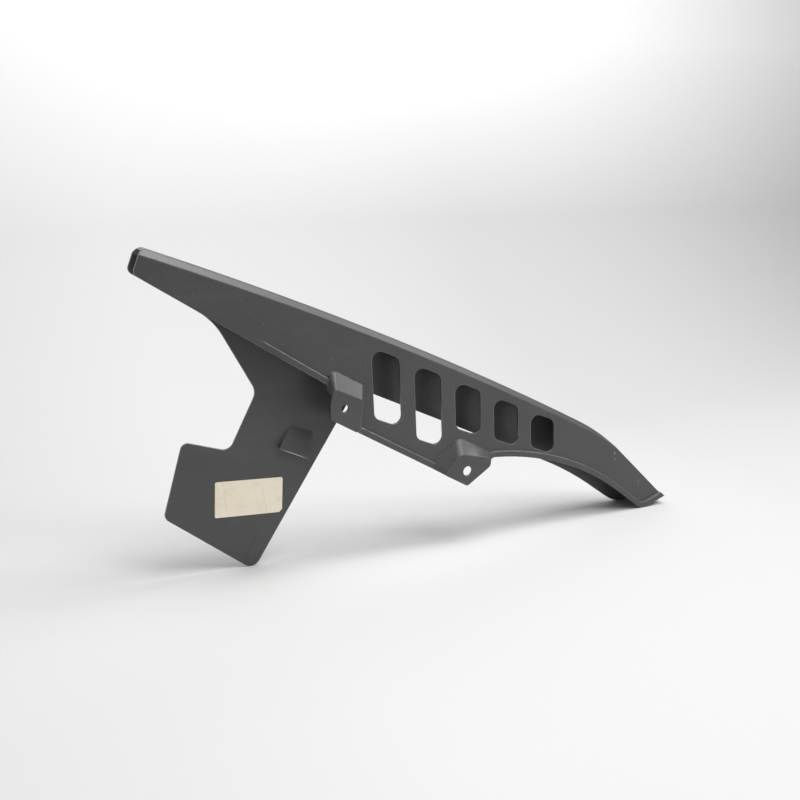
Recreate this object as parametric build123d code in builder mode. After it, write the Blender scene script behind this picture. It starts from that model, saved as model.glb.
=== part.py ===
from build123d import *
from math import cos, hypot, radians, sin
import os

os.makedirs("parts", exist_ok=True)

# A motorcycle chain guard: one plastic moulding, a slanted channel that is open below, with
# a side flap, two bolt tabs and five slots, and a paper label stuck to the flap.
# Millimetres. X runs along the guard, Y across it, Z up. The origin is the centre of the front
# bolt hole on the outer face of its pad. Outline points are (along, up) from that hole.

# Walls and widths
wall = 2.5  # thickness of the moulding
channel_width = 28.0  # over the outer faces of the two side walls
pad_stand_off = 10.0  # bolt pads, out from the near wall
lip_proud = 2.2  # stiffening lip, out from the near wall
lip_height = 5.0

# Top line: a long shallow arc, a knee and a straight tail
nose_top = (-151.0, 135.0)
knee_start = (238.0, -41.8)
knee_end = (281.0, -72.0)
top_bow = 7.0
nose_slope = 20.5  # degrees down towards the tail
knee_slope = 28.0
tail_slope = 44.3

# Bevel between the top and each side wall, which fades out behind the knee
bevel_in = 5.0
bevel_nose = 5.6
bevel_knee = 4.4
bevel_tail = 1.4
bevel_top_round = 2.6
bevel_side_round = 1.5

# Near wall, lower edge
nose_low = (-158.6, 115.7)
near_tail_low = (310.0, -137.6)
near_slope = 33.4
nose_end_slope = 66.6
tail_end_slope = 18.5
rear_arc_start = (143.4, -62.5)
rear_arc_end = (290.0, -121.6)
rear_arc_bow = 12.8
nose_corner = 5.0
nose_top_corner = 8.0
near_tail_corner = 12.0
lip_start = -64.0
lip_run_in = 16.0
tail_rim = 0.8  # the lip's rim over the top at the tail

# Far wall, lower edge, and its flap, from the nose to the tail
flap_outline = [(-94.9, 73.7), (-62.8, 12.8), (-87.4, -34.1), (-125.2, -21.8), (-143.6, -83.2)]
flap_outline += [(-72.2, -140.4), (24.4, 7.8)]
flap_corners = [55.0, 12.0, 8.0, 6.0, 6.0, 9.0, 10.0]
far_arc_start = (212.5, -81.8)
far_arc_end = (276.4, -121.2)
far_arc_bow = 2.0
far_tail_low = (302.2, -139.7)
far_tail_corner = 29.0

# Slots through the near wall
slot_width = 25.4
slot_pitch = 38.6
slot_top = (40.6, 40.5)  # middle of the first slot's top edge
slot_row_slope = 24.9
slot_heights = [60.2, 64.8, 41.9, 38.7, 33.1]
slot_end_slope = 23.5
slot_lean = 2.0
slot_corner = 7.2

# Bolt tabs. Each pad is joined to a wider root on the wall. The sides run clockwise from the
# top left corner, and a side is either a sloping flank or a free edge.
front_hole = 6.6
rear_hole = 8.8
rear_hole_at = (113.2, -69.0)
front_pad = [(-8.5, 17.0), (16.5, 5.0), (12.5, -23.0), (-12.0, -8.4), (-12.0, 4.7), (-9.2, 14.2)]
front_root = [(-8.5, 31.6), (21.0, 15.0), (17.2, -25.8), (-12.0, -8.4), (-13.0, 4.7), (-12.0, 19.1)]
front_pad_corners = [2.0, 3.0, 3.0, 3.0, 3.0, 1.0]
front_root_corners = [5.0, 5.0, 3.0, 3.0, 3.0, 1.0]
front_flanks = [True, True, False, False, False, True]
rear_pad = [(105.2, -53.0), (134.0, -58.8), (137.2, -66.6), (112.9, -82.6), (91.4, -69.9)]
rear_root = [(109.8, -40.3), (140.6, -58.4), (143.4, -62.5), (112.9, -82.6), (80.5, -63.4)]
rear_pad_corners = [10.0, 5.0, 4.5, 3.0, 3.0]
rear_root_corners = [9.0, 4.0, 3.5, 3.0, 3.0]
rear_flanks = [True, True, False, False, True]
flank_inset = 1.3
tab_step = 2.0  # sharp step at the root, before the slope
tab_draft = 0.4
tabs = [(front_root, front_root_corners, front_pad, front_pad_corners, front_flanks),
        (rear_root, rear_root_corners, rear_pad, rear_pad_corners, rear_flanks)]
tab_heel = 5.0

# Scoop on the flap's near face, open at its lower end
scoop_outline = [(-36.0, -17.3), (-15.6, -26.1), (-21.0, -48.8), (-47.5, -36.1)]
scoop_run = 20.0  # from the upper edge to the crest
scoop_height = 5.0
scoop_wall = 1.8
scoop_base_corners = [4.0, 1.5, 0.6, 0.6]
scoop_crest_corners = [1.2, 1.2, 0.6, 0.6]

# Paper label on the flap's near face
label_length = 57.4
label_height = 30.6
label_thickness = 0.3
label_at = (-73.3, -75.6)
label_turn = -3.4
label_corner = 1.5
label_clip = 2.5

# Levels across the guard
near_face = pad_stand_off
far_face = near_face + channel_width
middle = near_face + channel_width / 2
flap_face = far_face - wall
spare = 40.0  # how far a cutting shape reaches past what it cuts
above_top = (knee_end[0] + 2 * spare, knee_start[1] + spare)


def side(y):
    """The upright plane at y, seen from the near side: X to the right, Z up."""
    return Plane.XZ.offset(-y)


def moved(point, angle, distance):
    """The point, moved by a distance along an angle in degrees, counted from +X towards +Z."""
    return (point[0] + distance * cos(radians(angle)), point[1] + distance * sin(radians(angle)))


def inset(points, amounts):
    """A clockwise outline with each side moved in by its own amount. A side without an amount is
    open, and there the outline is drawn out past it."""
    middle_point = sum((Vector(*point) for point in points), Vector()) / len(points)
    corners = []
    for i, point in enumerate(points):
        corner, in_before, in_after = Vector(*point), amounts[i - 1], amounts[i]
        before = (corner - Vector(*points[i - 1])).normalized()
        after = (Vector(*points[(i + 1) % len(points)]) - corner).normalized()
        a, b = before.rotate(Axis.Z, -90), after.rotate(Axis.Z, -90)
        if in_before is None and in_after is None:
            corner += (corner - middle_point)
        elif in_after is None:
            corner += a * in_before + before * wall / 2
        elif in_before is None:
            corner += b * in_after - after * wall / 2
        else:
            cross = a.X * b.Y - a.Y * b.X
            corner += Vector(in_before * b.Y - in_after * a.Y, in_after * a.X - in_before * b.X) / cross
        corners.append((corner.X, corner.Y))
    return corners


def outline(y, points, corners):
    """A closed outline on the upright plane at y, with a radius for each corner."""
    with BuildSketch(side(y)) as sketch:
        with BuildLine():
            FilletPolyline(*points, radius=corners, close=True)
        make_face()
    return sketch.sketch


def channel_side(y, nose_drop, knee_drop, tail_drop, extra=0):
    """The channel's side outline: its top line, lowered by the drops, with open room below."""
    nose = moved(nose_top, 270 - nose_slope, nose_drop)
    knee_a = moved(knee_start, 270 - knee_slope, knee_drop)
    knee_b = moved(knee_end, 270 - tail_slope, tail_drop)
    front = moved(nose, 180 - nose_slope, spare / 2 + extra)
    tail = moved(knee_b, -tail_slope, 3 * spare + extra)
    low = min(flap_outline)[1] * 2 - spare - extra
    with BuildSketch(side(y)) as sketch:
        with BuildLine():
            top = SagittaArc(nose, knee_a, top_bow)
            TangentArc(knee_a, knee_b, tangent=top % 1)
            Polyline(knee_b, tail, (tail[0], low), (front[0], low), front, nose)
        make_face()
    return sketch.sketch


def wall_outline(y, lower_points, arc, bow, tail_low, corners):
    """A side wall's outline: its lower edge and both ends, with open room above its top line."""
    tail_up = moved(tail_low, tail_end_slope, 2 * spare)
    with BuildSketch(side(y)) as sketch:
        with BuildLine():
            Polyline(nose_low, *lower_points, arc[0])
            SagittaArc(*arc, bow)
            Polyline(arc[1], tail_low, tail_up, above_top, nose_top, nose_low)
        make_face()
        for point, radius in [(nose_low, nose_corner), (nose_top, nose_top_corner)] + corners:
            fillet(sketch.vertices().sort_by_distance(point)[0], radius)
    return sketch.sketch


def near_outline(y):
    run = front_root[3][0] - nose_low[0]
    points = [moved(nose_low, -near_slope, run / cos(radians(near_slope))), front_root[3], rear_root[3]]
    corners = [(front_pad[3], front_pad_corners[3]), (rear_pad[3], rear_pad_corners[3]),
               (rear_arc_start, tab_heel), (near_tail_low, near_tail_corner)]
    arc = (rear_arc_start, rear_arc_end)
    return wall_outline(y, points, arc, rear_arc_bow, near_tail_low, corners)


def far_outline(y):
    corners = list(zip(flap_outline, flap_corners)) + [(far_tail_low, far_tail_corner)]
    arc = (far_arc_start, far_arc_end)
    return wall_outline(y, flap_outline, arc, far_arc_bow, far_tail_low, corners)


with BuildPart() as tabs_room:
    # Hollow behind both bolt tabs, which runs out through every free edge
    for root, root_corners, pad, pad_corners, flanks in tabs:
        amounts = [flank_inset if flank else None for flank in flanks]
        loft([outline(near_face + wall, inset(root, amounts), root_corners),
              outline(near_face - tab_step + wall, inset(root, amounts), root_corners),
              outline(wall, inset(pad, amounts), pad_corners)], ruled=True)

with BuildPart() as walls:
    # Room that the side walls fill, from outside each wall to the middle of the channel
    extrude(near_outline(middle), amount=middle)
    extrude(far_outline(far_face + spare), amount=far_face + spare - middle)

with BuildPart() as chain_guard:
    # Channel: the side profile, bevelled along both top edges, and hollow inside
    bevel = (bevel_nose, bevel_knee, bevel_tail)
    levels = (near_face, near_face + bevel_in, far_face - bevel_in, far_face)
    loft([channel_side(levels[0], *bevel), channel_side(levels[1], 0, 0, 0)], ruled=True)
    extrude(channel_side(levels[1], 0, 0, 0), amount=levels[1] - levels[2])
    loft([channel_side(levels[2], 0, 0, 0), channel_side(levels[3], *bevel)], ruled=True)
    inner_bevel = [drop + wall / 2 for drop in bevel]
    inner_top = (wall, wall, wall)
    inner = (near_face + wall, near_face + bevel_in + 1, far_face - bevel_in - 1, far_face - wall)
    hollow = [channel_side(inner[0], *inner_bevel, spare), channel_side(inner[1], *inner_top, spare),
              channel_side(inner[2], *inner_top, spare), channel_side(inner[3], *inner_bevel, spare)]
    loft(hollow[:2], ruled=True, mode=Mode.SUBTRACT)
    extrude(hollow[1], amount=inner[1] - inner[2], mode=Mode.SUBTRACT)
    loft(hollow[2:], ruled=True, mode=Mode.SUBTRACT)
    add(walls.part, mode=Mode.INTERSECT)

    # Lip along the near wall's lower edge and round its tail
    with BuildSketch(side(near_face + wall / 2)) as lip:
        add(near_outline(0))
        offset(near_outline(0), amount=-lip_height, mode=Mode.SUBTRACT)
        add(channel_side(0, *bevel), mode=Mode.INTERSECT)
        with Locations((lip_start, 0)):
            Rectangle(10 * spare, 10 * spare, align=(Align.MIN, Align.CENTER), mode=Mode.INTERSECT)
    extrude(amount=lip_proud + wall / 2)
    with BuildSketch(Plane.XY):
        with BuildLine():
            Polyline((lip_start - 1, near_face), (lip_start + lip_run_in, near_face - lip_proud),
                     (lip_start - 1, near_face - lip_proud), close=True)
        make_face()
    extrude(amount=5 * spare, both=True, mode=Mode.SUBTRACT)
    with BuildSketch(side(near_face - lip_proud)):
        offset(channel_side(0, *bevel), amount=tail_rim)
        add(channel_side(0, *bevel), mode=Mode.SUBTRACT)
        add(near_outline(0), mode=Mode.INTERSECT)
        offset(near_outline(0), amount=-lip_height, mode=Mode.SUBTRACT)
        with Locations(knee_end):
            Rectangle(2 * spare, 4 * spare, align=(Align.MIN, Align.CENTER), mode=Mode.INTERSECT)
    extrude(amount=-lip_proud - channel_width)

    # Bolt tabs
    for root, root_corners, pad, pad_corners, flanks in tabs:
        draft = [tab_draft if flank else 0 for flank in flanks]
        loft([outline(near_face, root, root_corners),
              outline(near_face - tab_step, inset(root, draft), root_corners),
              outline(0, pad, pad_corners)], ruled=True)
    add(tabs_room.part, mode=Mode.SUBTRACT)
    with BuildSketch(side(0)):
        Circle(front_hole / 2)
        with Locations(rear_hole_at):
            Circle(rear_hole / 2)
    extrude(amount=-2 * wall, mode=Mode.SUBTRACT)

    # Rounded creases along both edges of each bevel
    flat = (0, 0, 0)
    for creases, drops, radius in ((levels[1:3], flat, bevel_top_round),
                                   (levels[::3], bevel, bevel_side_round)):
        lines = [channel_side(level, *drops).wire() for level in creases]
        fillet([edge for edge in chain_guard.edges() if edge.length > 2 * lip_height
                and any(Vertex(*(edge @ 0.5)).distance_to(line) < wall / 100 for line in lines)], radius)

    # Slots
    with BuildSketch(side(near_face + wall / 2)):
        for i, height in enumerate(slot_heights):
            middle_top = moved(slot_top, -slot_row_slope, i * slot_pitch / cos(radians(slot_row_slope)))
            middle_low = moved(middle_top, slot_lean - 90, height)
            half = slot_width / 2 / cos(radians(slot_end_slope))
            corners = [moved(middle_top, 180 - slot_end_slope, half),
                       moved(middle_top, -slot_end_slope, half),
                       moved(middle_low, -slot_end_slope, half),
                       moved(middle_low, 180 - slot_end_slope, half)]
            with BuildLine():
                FilletPolyline(*corners, radius=slot_corner, close=True)
            make_face()
    extrude(amount=wall, both=True, mode=Mode.SUBTRACT)

    # Scoop: a wedge that rises from its upper edge to its crest, with an even wall
    ramp = hypot(scoop_run, scoop_height) / scoop_height
    outside = [(0, 0), (scoop_run, scoop_height)]
    inside = [(scoop_wall * ramp, 0),
              (scoop_wall * ramp + scoop_run * (1 - scoop_wall / scoop_height), scoop_height - scoop_wall)]
    scoop_corners = (scoop_base_corners, scoop_crest_corners)
    for steps, cheek, mouth, mode in ((outside, 0, 0, Mode.ADD), (inside, scoop_wall, None, Mode.SUBTRACT)):
        loft([outline(flap_face - out, inset(scoop_outline, (along, cheek, mouth, cheek)), corners)
              for (along, out), corners in zip(steps, scoop_corners)], ruled=True, mode=mode)

chain_guard.part.label = "chain_guard"
export_step(chain_guard.part, "parts/chain_guard.step")

with BuildPart() as paper_label:
    with BuildSketch(side(flap_face)) as paper:
        with Locations(label_at):
            Rectangle(label_length, label_height, rotation=label_turn)
        lower_right = paper.vertices().sort_by(Axis.Y)[0]
        fillet(paper.vertices() - [lower_right], label_corner)
        chamfer(paper.vertices().sort_by(Axis.Y)[0], label_clip)
    extrude(amount=label_thickness)

paper_label.part.label = "paper_label"
export_step(paper_label.part, "parts/paper_label.step")
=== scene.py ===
from math import cos, radians, sin

import bmesh
import bpy
from mathutils import Matrix, Vector


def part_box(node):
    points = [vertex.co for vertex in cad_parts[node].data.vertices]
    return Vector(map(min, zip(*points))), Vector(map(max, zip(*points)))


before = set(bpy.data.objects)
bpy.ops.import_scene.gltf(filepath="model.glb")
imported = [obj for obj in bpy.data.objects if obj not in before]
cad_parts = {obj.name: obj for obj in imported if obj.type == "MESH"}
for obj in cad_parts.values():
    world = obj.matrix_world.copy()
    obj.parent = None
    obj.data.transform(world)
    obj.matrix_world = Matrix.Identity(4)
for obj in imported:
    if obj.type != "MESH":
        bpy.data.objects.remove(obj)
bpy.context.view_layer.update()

MM = 0.001
NEAR_WALL = 10.0  # levels across the guard, in mm
SCOOP_CREST = 30.9
floor_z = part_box("chain_guard")[0][2]


# Camera: the photograph's viewpoint, in the row frame
def place_camera():
    azimuth, elevation, roll = radians(-24.37), radians(13.59), radians(0.53)
    target, distance = Vector((53.4, 10.0, -0.8)) * MM, 816.5 * MM
    ahead = Vector((-sin(azimuth) * cos(elevation), cos(azimuth) * cos(elevation), -sin(elevation)))
    right = ahead.cross(Vector((0, 0, 1))).normalized()
    up = right.cross(ahead)
    right, up = right * cos(roll) - up * sin(roll), right * sin(roll) + up * cos(roll)
    data = bpy.data.cameras.new("camera")
    data.lens, data.sensor_width = 43.74, 36.0
    data.clip_start, data.clip_end = 0.01, 20.0
    camera = bpy.data.objects.new("camera", data)
    camera.matrix_world = Matrix.Translation(target - ahead * distance) @ Matrix(
        (right, up, -ahead)).transposed().to_4x4()
    bpy.context.scene.collection.objects.link(camera)
    bpy.context.scene.camera = camera


place_camera()


# Materials
class Nodes:
    """A short way to write node trees."""

    def __init__(self, name):
        self.material = bpy.data.materials.new(name)
        self.material.use_nodes = True
        self.tree = self.material.node_tree
        self.tree.nodes.clear()
        self.output = self.tree.nodes.new("ShaderNodeOutputMaterial")

    def add(self, kind, inputs=None, **settings):
        node = self.tree.nodes.new("ShaderNode" + kind)
        for key, value in settings.items():
            setattr(node, key, value)
        for key, value in (inputs or {}).items():
            self.set(node.inputs[key], value)
        return node

    def set(self, socket, value):
        if isinstance(value, bpy.types.NodeSocket):
            self.tree.links.new(value, socket)
        else:
            socket.default_value = value

    def math(self, operation, a, b=0.0):
        node = self.add("Math", operation=operation)
        for socket, value in zip(node.inputs, (a, b)):
            self.set(socket, value)
        return node.outputs[0]

    def ramp(self, factor, low, high, to_low=0.0, to_high=1.0):
        node = self.add("MapRange", {"Value": factor, "From Min": low, "From Max": high,
                                     "To Min": to_low, "To Max": to_high}, clamp=True)
        return node.outputs["Result"]

    def mix(self, factor, a, b):
        node = self.add("Mix", data_type="RGBA")
        self.set(node.inputs[0], factor)
        self.set(node.inputs[6], a)
        self.set(node.inputs[7], b)
        return node.outputs[2]

    def noise(self, position, scale, detail=2.0, roughness=0.5):
        return self.add("TexNoise", {"Vector": position, "Scale": scale, "Detail": detail,
                                     "Roughness": roughness}).outputs["Fac"]

    def finish(self, shader):
        self.tree.links.new(shader, self.output.inputs["Surface"])
        return self.material


def grey(level, warm=0.0):
    return (level * (1 + warm), level, level * (1 - warm), 1.0)


def plastic():
    """Dark grey moulded plastic: fine grain, faint mould flow, dust, edges lightened partly as rubbed
    wear and partly as painted highlight, old nicks, and a painted highlight on the scoop's lower edge.
    """
    n = Nodes("guard_plastic")
    position = n.add("TexCoord").outputs["Object"]
    x, y, z = n.add("SeparateXYZ", {"Vector": position}).outputs

    def spot(at, size, level=None, turn=0.0):
        """1 at a point of the side view (x, z in mm), falling to 0 at size (along, across) from it."""
        dx = n.math("SUBTRACT", x, at[0] * MM)
        dz = n.math("SUBTRACT", z, at[1] * MM)
        along = n.math("ADD", n.math("MULTIPLY", dx, cos(turn)), n.math("MULTIPLY", dz, sin(turn)))
        across = n.math("SUBTRACT", n.math("MULTIPLY", dz, cos(turn)), n.math("MULTIPLY", dx, sin(turn)))
        u = n.math("DIVIDE", along, size[0] * MM)
        v = n.math("DIVIDE", across, size[1] * MM)
        r = n.math("SQRT", n.math("ADD", n.math("MULTIPLY", u, u), n.math("MULTIPLY", v, v)))
        shape = n.ramp(r, 1.0, 0.55)
        if level is not None:
            near = n.ramp(n.math("ABSOLUTE", n.math("SUBTRACT", y, level * MM)), 1.5 * MM, 0.8 * MM)
            shape = n.math("MULTIPLY", shape, near)
        return shape

    # Grain and unevenness
    grain = n.noise(position, 2600.0, 1.0)
    pebble = n.noise(position, 700.0, 2.0)
    cloud = n.noise(position, 14.0, 4.0, 0.6)
    smear = n.noise(n.add("Mapping", {"Vector": position, "Scale": (4.0, 30.0, 30.0),
                                      "Rotation": (0.0, radians(25), 0.0)}).outputs[0], 3.0, 4.0, 0.65)

    # Edges lightened, partly as rubbed wear and partly as painted highlight: where the rounded normal
    # leaves the flat one
    bevel = n.add("Bevel", {"Radius": 1.2 * MM}, samples=8)
    flat = n.add("NewGeometry").outputs["Normal"]
    turn = n.add("VectorMath", operation="DOT_PRODUCT")
    n.set(turn.inputs[0], bevel.outputs[0])
    n.set(turn.inputs[1], flat)
    edge = n.ramp(turn.outputs["Value"], 0.995, 0.85)
    rubbed_and_painted_highlight = n.math("MULTIPLY", edge, n.ramp(n.noise(position, 120.0, 3.0, 0.7), 0.3, 0.55))

    # Dust in fine specks, thicker in some places
    specks = n.ramp(n.noise(position, 900.0, 2.0, 0.6), 0.66, 0.78)
    dust = n.math("MULTIPLY", specks, n.ramp(cloud, 0.45, 0.7))

    # Old nicks near the tail, a crack by the flap's low corner, and a painted highlight line along the
    # scoop's lower edge
    nicks = [((276.9, -76.9), (0.7, 1.9)), ((277.3, -82.9), (0.6, 1.1)),
             ((306.4, -109.1), (0.6, 1.0)), ((306.6, -112.2), (0.5, 0.7))]
    marks = None
    for at, size in nicks:
        mark = spot(at, size, NEAR_WALL, 0.2)
        marks = mark if marks is None else n.math("MAXIMUM", marks, mark)
    marks = n.math("MULTIPLY", marks, n.ramp(n.noise(position, 1500.0, 2.0), 0.3, 0.55))
    crack = n.math("MAXIMUM", spot((-71.2, -114.8), (6.9, 0.36), None, radians(59.5)),
                   spot((-77.4, -126.7), (7.0, 0.3), None, radians(64.5)))
    scoop_painted_highlight = spot((-34.2, -42.6), (14.6, 1.1), SCOOP_CREST, radians(-25.6))
    scratches = n.ramp(n.noise(position, 420.0, 1.0, 0.3), 0.735, 0.775)

    base = n.mix(n.ramp(cloud, 0.3, 0.7), (0.053, 0.053, 0.056, 1.0), (0.062, 0.062, 0.065, 1.0))
    base = n.mix(n.math("MULTIPLY", n.ramp(smear, 0.52, 0.75), 0.35), base, grey(0.082))
    base = n.mix(n.math("MULTIPLY", dust, 0.5), base, grey(0.26, 0.02))
    # painted highlight and rubbed wear: edges lightened towards grey 0.24
    base = n.mix(n.math("MULTIPLY", rubbed_and_painted_highlight, 0.7), base, grey(0.24))
    base = n.mix(n.math("MULTIPLY", scratches, 0.3), base, grey(0.2))
    base = n.mix(n.math("MULTIPLY", marks, 0.75), base, grey(0.42))
    # painted highlight: a pale line along the scoop's lower edge
    base = n.mix(n.math("MULTIPLY", scoop_painted_highlight, 0.8), base, grey(0.5))
    base = n.mix(n.math("MULTIPLY", crack, 0.8), base, grey(0.012))

    rough = n.math("ADD", n.ramp(cloud, 0.3, 0.7, 0.33, 0.38), n.math("MULTIPLY", dust, 0.2))
    rough = n.math("SUBTRACT", rough, n.math("MULTIPLY", rubbed_and_painted_highlight, 0.06))

    height = n.math("ADD", n.math("MULTIPLY", grain, 0.5), n.math("MULTIPLY", pebble, 0.6))
    height = n.math("SUBTRACT", height, n.math("MULTIPLY", crack, 3.0))
    bump = n.add("Bump", {"Height": height, "Strength": 0.5, "Distance": 0.05 * MM,
                          "Normal": bevel.outputs[0]})
    shader = n.add("BsdfPrincipled", {"Base Color": base, "Roughness": rough, "IOR": 1.5,
                                      "Specular IOR Level": 0.5, "Normal": bump.outputs[0]})
    return n.finish(shader.outputs[0])


def paper():
    """Old label paper: cream, with fibre, soft creases, grime at the rim and faint stains."""
    n = Nodes("label_paper")
    position = n.add("TexCoord").outputs["Object"]
    fibre = n.noise(position, 1400.0, 4.0, 0.7)
    cloud = n.noise(position, 45.0, 4.0, 0.6)
    stain = n.noise(n.add("Mapping", {"Vector": position, "Location": (0.3, 0.1, 0.7),
                                      "Scale": (1.0, 1.0, 2.2)}).outputs[0], 95.0, 5.0, 0.7)
    crease = n.add("TexVoronoi", {"Vector": position, "Scale": 60.0},
                   feature="DISTANCE_TO_EDGE").outputs["Distance"]
    base = n.mix(n.ramp(cloud, 0.3, 0.7), (0.90, 0.83, 0.69, 1.0), (0.85, 0.76, 0.61, 1.0))
    base = n.mix(n.math("MULTIPLY", n.ramp(stain, 0.56, 0.72), 0.22), base, (0.55, 0.36, 0.28, 1.0))
    base = n.mix(n.math("MULTIPLY", n.ramp(fibre, 0.6, 0.8), 0.12), base, (0.45, 0.38, 0.3, 1.0))

    # Soft upright creases, each wandering a little, in the label's own lean
    x, _, z = n.add("SeparateXYZ", {"Vector": position}).outputs
    wander = n.math("MULTIPLY", n.math("SUBTRACT", n.noise(position, 70.0, 3.0), 0.5), 9.0 * MM)
    along = n.math("ADD", n.math("ADD", x, wander), n.math("MULTIPLY", z, 0.10))
    folds = None
    for at, width, depth in ((-106.0, 0.5, 0.8), (-100.5, 0.6, 1.0), (-73.5, 0.4, 0.4),
                             (-68.0, 0.5, 0.7), (-64.0, 0.4, 0.5)):
        away = n.math("ABSOLUTE", n.math("SUBTRACT", along, at * MM))
        fold = n.ramp(away, width * MM, 0.0, 0.0, depth)
        folds = fold if folds is None else n.math("MAXIMUM", folds, fold)
    base = n.mix(n.math("MULTIPLY", folds, 0.28), base, (0.50, 0.38, 0.26, 1.0))
    rim = n.ramp(n.math("ADD", x, n.math("MULTIPLY", z, -0.059)), -96.6 * MM, -98.0 * MM)
    base = n.mix(n.math("MULTIPLY", rim, 0.5), base, (0.62, 0.44, 0.28, 1.0))
    height = n.math("ADD", n.math("MULTIPLY", fibre, 0.3), n.ramp(crease, 0.0, 0.02))
    height = n.math("SUBTRACT", height, n.math("MULTIPLY", folds, 0.8))
    bump = n.add("Bump", {"Height": height, "Strength": 0.35, "Distance": 0.1 * MM})
    shader = n.add("BsdfPrincipled", {"Base Color": base, "Roughness": 0.85,
                                      "Specular IOR Level": 0.3, "Normal": bump.outputs[0]})
    return n.finish(shader.outputs[0])


def studio_white():
    """Matt white sheet, with painted shade that makes it greyer to the right and painted light that
    makes it brighter high up behind the guard.
    """
    n = Nodes("studio_white")
    along, _, height = n.add("SeparateXYZ", {"Vector": n.add("TexCoord").outputs["Object"]}).outputs
    # painted shade: greyer towards the right
    colour = n.mix(n.ramp(along, -0.05, 0.5, 0.0, 0.6), grey(0.64), grey(0.45))
    # painted light: brighter high up behind the guard
    colour = n.mix(n.ramp(height, floor_z + 0.24, floor_z + 0.55), colour, grey(0.86))
    shader = n.add("BsdfDiffuse", {"Color": colour, "Roughness": 0.0})
    return n.finish(shader.outputs[0])


# The CAD nodes take their finished materials
for node, material in (("chain_guard", plastic()), ("paper_label", paper())):
    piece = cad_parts[node]
    for place in piece.material_slots:
        place.material = material


# Studio: one white sheet that lies flat under the guard and sweeps up behind it
def sweep():
    flat_to, radius, top = 0.30, 0.55, 1.9
    profile = [(-2.2, 0.0), (flat_to, 0.0)]
    profile += [(flat_to + radius * sin(a), radius - radius * cos(a))
                for a in (radians(d) for d in range(5, 91, 5))]
    profile.append((flat_to + radius, top))
    mesh = bmesh.new()
    rows = [[mesh.verts.new((side, y, floor_z + z)) for y, z in profile] for side in (-2.6, 2.6)]
    for i in range(len(profile) - 1):
        mesh.faces.new((rows[0][i], rows[1][i], rows[1][i + 1], rows[0][i + 1]))
    data = bpy.data.meshes.new("studio_sweep")
    mesh.to_mesh(data)
    mesh.free()
    for face in data.polygons:
        face.use_smooth = True
    sheet = bpy.data.objects.new("studio_sweep", data)
    data.materials.append(studio_white())
    bpy.context.scene.collection.objects.link(sheet)


sweep()


def lamp(name, at, aim, size, power):
    data = bpy.data.lights.new(name, "AREA")
    data.shape, data.size, data.size_y, data.energy = "RECTANGLE", size[0], size[1], power
    light = bpy.data.objects.new(name, data)
    light.location = at
    light.rotation_euler = (Vector(aim) - Vector(at)).to_track_quat("-Z", "Y").to_euler()
    bpy.context.scene.collection.objects.link(light)


lamp("overhead", (0.36, -0.26, 1.30), (0.0, 0.0, 0.0), (1.2, 0.7), 14.5)
lamp("front_top", (0.55, -0.80, 1.00), (0.0, 0.0, 0.0), (0.45, 0.45), 4.6)
lamp("right_top", (1.05, -0.22, 0.82), (0.0, 0.0, 0.0), (0.5, 0.5), 4.5)
lamp("front_low", (0.98, -0.98, 0.34), (0.0, 0.0, 0.02), (0.2, 0.5), 1.5)
lamp("backdrop", (0.10, -0.05, 1.35), (0.20, 0.85, 0.45), (1.2, 0.5), 6.0)

world = bpy.data.worlds.new("studio")
world.use_nodes = True
world.node_tree.nodes["Background"].inputs["Color"].default_value = (1.0, 1.0, 1.0, 1.0)
world.node_tree.nodes["Background"].inputs["Strength"].default_value = 0.32
bpy.context.scene.world = world
bpy.context.scene.view_settings.view_transform = "Standard"
